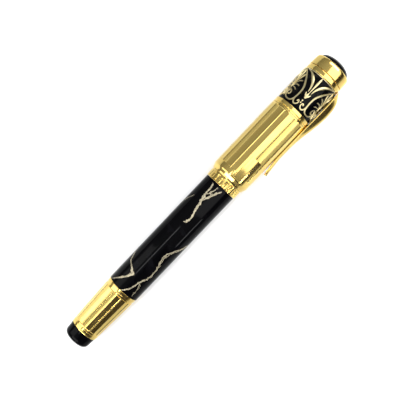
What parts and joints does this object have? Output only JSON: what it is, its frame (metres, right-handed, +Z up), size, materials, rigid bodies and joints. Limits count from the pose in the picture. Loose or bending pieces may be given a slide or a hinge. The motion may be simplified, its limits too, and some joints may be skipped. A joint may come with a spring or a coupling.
{
  "type": "rollerball pen",
  "caption": "Capped rollerball pen with a fluted metal cap and tail, an enamelled frieze, a lacquered barrel and a sprung pocket clip.",
  "frame": {"origin": "centre of the flat end of the tail cap, on the pen's axis", "axes": "+X along the pen towards the crown, -Y towards the clip, +Z up as the pen lies on its side"},
  "size_m": [0.14, 0.0186, 0.0156],
  "materials": {
    "gold": "polished gold plate",
    "black_lacquer": "gloss black lacquer with fine pale veins",
    "black_enamel": "gloss black enamel",
    "black_resin": "polished black resin",
    "brass": "turned brass",
    "steel": "bright steel",
    "inner_plastic": "moulded plastic",
    "plug_plastic": "moulded plastic",
    "rubber": "matt rubber"
  },
  "bodies": {
    "barrel": {"tail_cap": "black_resin", "tail_stud": "brass", "tail_sleeve": "gold", "barrel_liner": "brass", "barrel_tube": "black_lacquer", "barrel_ring": "gold", "refill_spring": "steel"},
    "section": {"section_coupling": "brass", "section_o_ring": "rubber", "section_ring": "gold", "grip_section": "black_resin", "nose_cone": "gold"},
    "refill": {"refill_tube": "steel", "refill_plug": "plug_plastic", "refill_nose": "inner_plastic", "refill_point": "steel", "refill_ball": "steel"},
    "cap": {"cap_tube": "gold", "cap_plaque": "gold", "cap_clutch": "steel", "inner_cap": "inner_plastic", "cap_core": "brass", "cap_collar": "gold", "frieze_band": "black_enamel", "frieze_relief": "gold", "clip_ring": "gold", "crown_ring": "gold", "crown_dome": "black_resin", "crown_stud": "brass", "crown_washer": "steel"},
    "clip": {"clip": "gold"}
  },
  "joints": [
    {"name": "section_draw", "type": "slide", "parent": "barrel", "child": "section", "axis": [1, 0, 0], "range_m": [0, 0.115]},
    {"name": "cap_pull", "type": "slide", "parent": "section", "child": "cap", "axis": [1, 0, 0], "range_m": [0, 0.055]},
    {"name": "clip_flex", "type": "hinge", "parent": "cap", "child": "clip", "pos_m": [0.1324, -0.00753, 0], "axis": [0, 0, 1], "range_deg": [0, 8], "stiffness_Nm_per_rad": 3},
    {"name": "refill_float", "type": "slide", "parent": "barrel", "child": "refill", "axis": [1, 0, 0], "range_m": [-0.0015, 0], "stiffness_N_per_m": 400, "springref_m": 0.004, "deforming": ["refill_spring"]}
  ]
}
